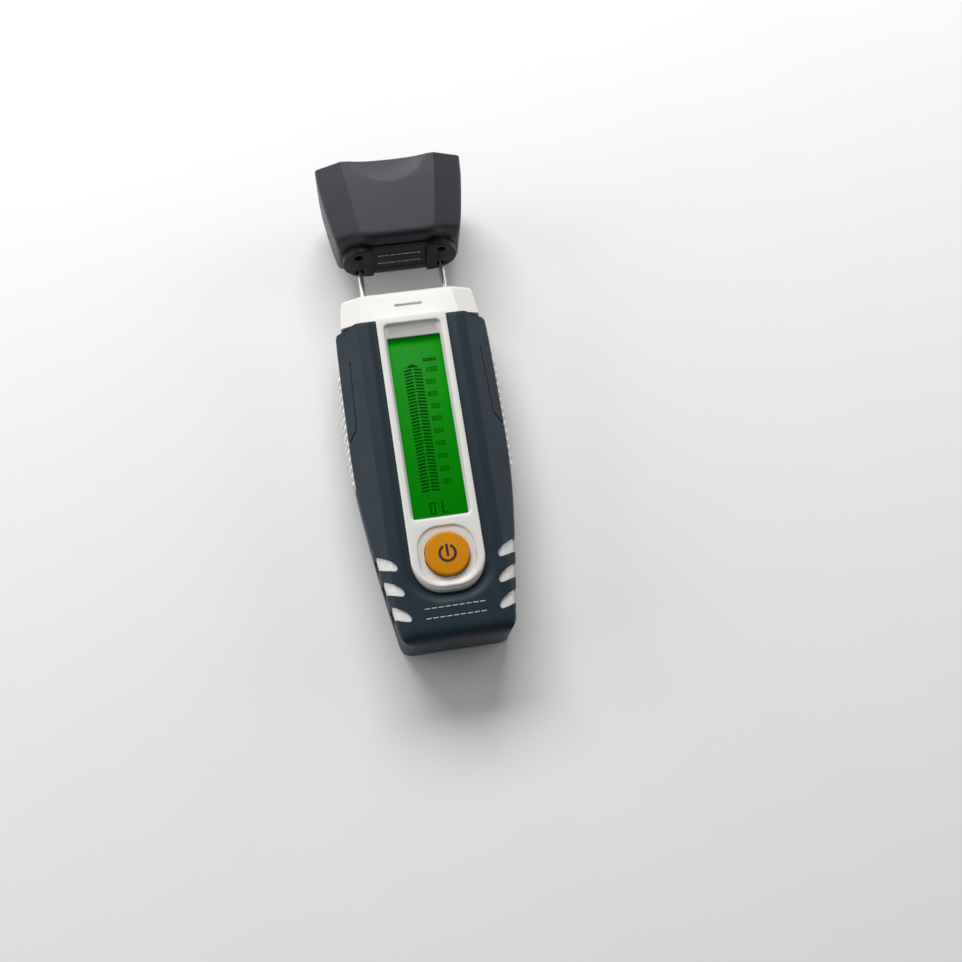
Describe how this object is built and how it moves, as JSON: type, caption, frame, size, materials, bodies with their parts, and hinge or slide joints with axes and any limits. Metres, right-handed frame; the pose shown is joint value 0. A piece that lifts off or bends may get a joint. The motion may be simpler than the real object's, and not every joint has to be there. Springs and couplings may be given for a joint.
{
  "type": "moisture meter",
  "caption": "Handheld pin moisture meter with a rubber jacket, long backlit display, power button and a test cap held off its electrodes.",
  "frame": {"origin": "on the flat back the meter lies on, midway across the case, 60 mm above its foot end", "axes": "+X to the right seen from the display, +Y towards the electrodes, +Z out of the display"},
  "size_m": [0.0596, 0.1764, 0.0378],
  "materials": {
    "white_shell": "satin",
    "jacket_rubber": "soft touch",
    "white_rubber": "satin",
    "electrode_steel": "polished",
    "contact_brass": "plain",
    "window_plastic": "clear",
    "lcd_green": "backlit",
    "diffuser": "translucent",
    "board_green": "solder mask",
    "chip_black": "moulded",
    "plunger": "moulded",
    "button_amber": "satin",
    "icon_black": "printed",
    "cover_plastic": "textured",
    "cell_jacket": "foil",
    "nickel": "plated",
    "screw_steel": "plain",
    "marks_grey": "printed",
    "cap_plastic": "fine texture",
    "plate_black": "fine texture",
    "resistor": "lacquered"
  },
  "bodies": {
    "meter": {"front_shell": "white_shell", "rear_shell": "white_shell", "grip_jacket_front": "jacket_rubber", "grip_jacket_rear": "jacket_rubber", "side_strip_left": "white_rubber", "side_strip_right": "white_rubber", "sensor_head": "white_shell", "electrode_left": "electrode_steel", "electrode_right": "electrode_steel", "electrode_collars": "electrode_steel", "electrode_inserts": "contact_brass", "electrode_leads": "contact_brass", "display_window": "window_plastic", "lcd_glass": "lcd_green", "lcd_backlight": "diffuser", "circuit_board": "board_green", "circuit_chips": "chip_black", "buzzer": "chip_black", "tact_switch": "chip_black", "battery_cells": "cell_jacket", "battery_springs": "nickel", "battery_plates": "nickel", "case_screws": "screw_steel", "board_screws": "screw_steel", "rule_inlays": "marks_grey"},
    "button": {"power_button": "button_amber", "button_icon": "icon_black", "switch_plunger": "plunger"},
    "cover": {"battery_cover": "cover_plastic"},
    "cap": {"cap_shell": "cap_plastic", "cap_end_plate": "plate_black", "cap_marks": "marks_grey", "cap_contacts": "contact_brass", "cap_test_board": "board_green", "cap_resistors": "resistor"}
  },
  "joints": [
    {"name": "button_press", "type": "slide", "parent": "meter", "child": "button", "axis": [0, 0, -1], "range_m": [0, 0.0007], "stiffness_N_per_m": 1500, "springref_m": -0.0005},
    {"name": "cover_slide", "type": "slide", "parent": "meter", "child": "cover", "axis": [0, -1, 0], "range_m": [0, 0.06]},
    {"name": "cap_pull", "type": "slide", "parent": "meter", "child": "cap", "axis": [0, 1, 0], "range_m": [-0.006, 0.04]}
  ]
}
